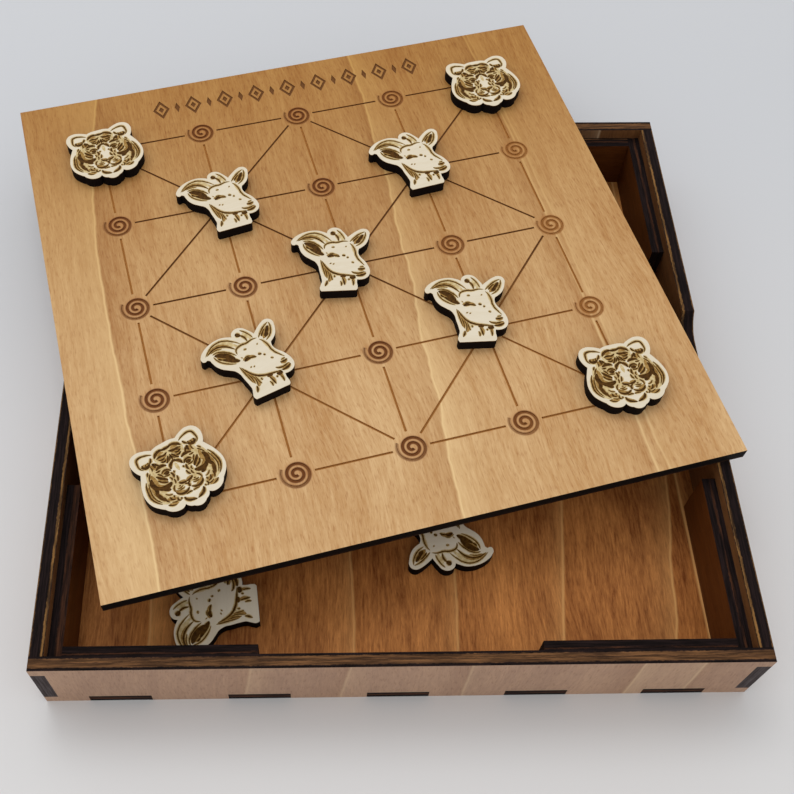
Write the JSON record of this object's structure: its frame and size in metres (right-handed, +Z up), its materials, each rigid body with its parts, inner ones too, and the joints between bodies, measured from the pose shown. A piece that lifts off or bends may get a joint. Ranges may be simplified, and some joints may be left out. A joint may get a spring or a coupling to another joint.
{
  "type": "tiger and goat board game",
  "caption": "Square plywood tray with finger-jointed walls, a drop-in engraved board as its lid, and flat tiger-head and goat-head playing pieces.",
  "frame": {"origin": "centre of the underside of the tray, on the surface it stands on", "axes": "+Z up, the tray's thin direction; +Y from the open front to the back; +X to the right, where the finger notch is"},
  "size_m": [0.2311, 0.2476, 0.035],
  "materials": {
    "tray_ply": "satin",
    "board_ply": "satin",
    "token_ply": "matte"
  },
  "bodies": {
    "box": {"base_panel": "tray_ply", "front_wall": "tray_ply", "back_wall": "tray_ply", "left_wall": "tray_ply", "right_wall": "tray_ply", "liner_front_left": "tray_ply", "liner_front_right": "tray_ply", "liner_back_left": "tray_ply", "liner_back_right": "tray_ply", "liner_left_front": "tray_ply", "liner_left_back": "tray_ply", "liner_right_front": "tray_ply", "liner_right_back": "tray_ply"},
    "board": {"board": "board_ply"},
    "tiger_1": {"tiger_1": "token_ply"},
    "tiger_2": {"tiger_2": "token_ply"},
    "tiger_3": {"tiger_3": "token_ply"},
    "tiger_4": {"tiger_4": "token_ply"},
    "goat_1": {"goat_1": "token_ply"},
    "goat_2": {"goat_2": "token_ply"},
    "goat_3": {"goat_3": "token_ply"},
    "goat_4": {"goat_4": "token_ply"},
    "goat_5": {"goat_5": "token_ply"},
    "goat_6": {"goat_6": "token_ply"},
    "goat_7": {"goat_7": "token_ply"},
    "goat_8": {"goat_8": "token_ply"},
    "goat_9": {"goat_9": "token_ply"},
    "goat_10": {"goat_10": "token_ply"},
    "goat_11": {"goat_11": "token_ply"},
    "goat_12": {"goat_12": "token_ply"},
    "goat_13": {"goat_13": "token_ply"},
    "goat_14": {"goat_14": "token_ply"},
    "goat_15": {"goat_15": "token_ply"},
    "goat_16": {"goat_16": "token_ply"},
    "goat_17": {"goat_17": "token_ply"},
    "goat_18": {"goat_18": "token_ply"},
    "goat_19": {"goat_19": "token_ply"},
    "goat_20": {"goat_20": "token_ply"}
  },
  "joints": [
    {"name": "board_lift", "type": "slide", "parent": "box", "child": "board", "axis": [0, 0, 1], "range_m": [0, 0.06]},
    {"name": "tiger_1_lift", "type": "slide", "parent": "board", "child": "tiger_1", "axis": [0, 0, 1], "range_m": [0, 0.03]},
    {"name": "tiger_2_lift", "type": "slide", "parent": "board", "child": "tiger_2", "axis": [0, 0, 1], "range_m": [0, 0.03]},
    {"name": "tiger_3_lift", "type": "slide", "parent": "board", "child": "tiger_3", "axis": [0, 0, 1], "range_m": [0, 0.03]},
    {"name": "tiger_4_lift", "type": "slide", "parent": "board", "child": "tiger_4", "axis": [0, 0, 1], "range_m": [0, 0.03]},
    {"name": "goat_1_lift", "type": "slide", "parent": "board", "child": "goat_1", "axis": [0, 0, 1], "range_m": [0, 0.03]},
    {"name": "goat_2_lift", "type": "slide", "parent": "board", "child": "goat_2", "axis": [0, 0, 1], "range_m": [0, 0.03]},
    {"name": "goat_3_lift", "type": "slide", "parent": "board", "child": "goat_3", "axis": [0, 0, 1], "range_m": [0, 0.03]},
    {"name": "goat_4_lift", "type": "slide", "parent": "board", "child": "goat_4", "axis": [0, 0, 1], "range_m": [0, 0.03]},
    {"name": "goat_5_lift", "type": "slide", "parent": "board", "child": "goat_5", "axis": [0, 0, 1], "range_m": [0, 0.03]},
    {"name": "goat_6_lift", "type": "slide", "parent": "box", "child": "goat_6", "axis": [0, 0, 1], "range_m": [0, 0.018]},
    {"name": "goat_7_lift", "type": "slide", "parent": "box", "child": "goat_7", "axis": [0, 0, 1], "range_m": [0, 0.018]},
    {"name": "goat_8_lift", "type": "slide", "parent": "box", "child": "goat_8", "axis": [0, 0, 1], "range_m": [0, 0.018]},
    {"name": "goat_9_lift", "type": "slide", "parent": "box", "child": "goat_9", "axis": [0, 0, 1], "range_m": [0, 0.018]},
    {"name": "goat_10_lift", "type": "slide", "parent": "box", "child": "goat_10", "axis": [0, 0, 1], "range_m": [0, 0.018]},
    {"name": "goat_11_lift", "type": "slide", "parent": "box", "child": "goat_11", "axis": [0, 0, 1], "range_m": [0, 0.018]},
    {"name": "goat_12_lift", "type": "slide", "parent": "box", "child": "goat_12", "axis": [0, 0, 1], "range_m": [0, 0.018]},
    {"name": "goat_13_lift", "type": "slide", "parent": "box", "child": "goat_13", "axis": [0, 0, 1], "range_m": [0, 0.018]},
    {"name": "goat_14_lift", "type": "slide", "parent": "box", "child": "goat_14", "axis": [0, 0, 1], "range_m": [0, 0.018]},
    {"name": "goat_15_lift", "type": "slide", "parent": "box", "child": "goat_15", "axis": [0, 0, 1], "range_m": [0, 0.018]},
    {"name": "goat_16_lift", "type": "slide", "parent": "box", "child": "goat_16", "axis": [0, 0, 1], "range_m": [0, 0.018]},
    {"name": "goat_17_lift", "type": "slide", "parent": "box", "child": "goat_17", "axis": [0, 0, 1], "range_m": [0, 0.018]},
    {"name": "goat_18_lift", "type": "slide", "parent": "box", "child": "goat_18", "axis": [0, 0, 1], "range_m": [0, 0.018]},
    {"name": "goat_19_lift", "type": "slide", "parent": "box", "child": "goat_19", "axis": [0, 0, 1], "range_m": [0, 0.018]},
    {"name": "goat_20_lift", "type": "slide", "parent": "box", "child": "goat_20", "axis": [0, 0, 1], "range_m": [0, 0.018]}
  ]
}
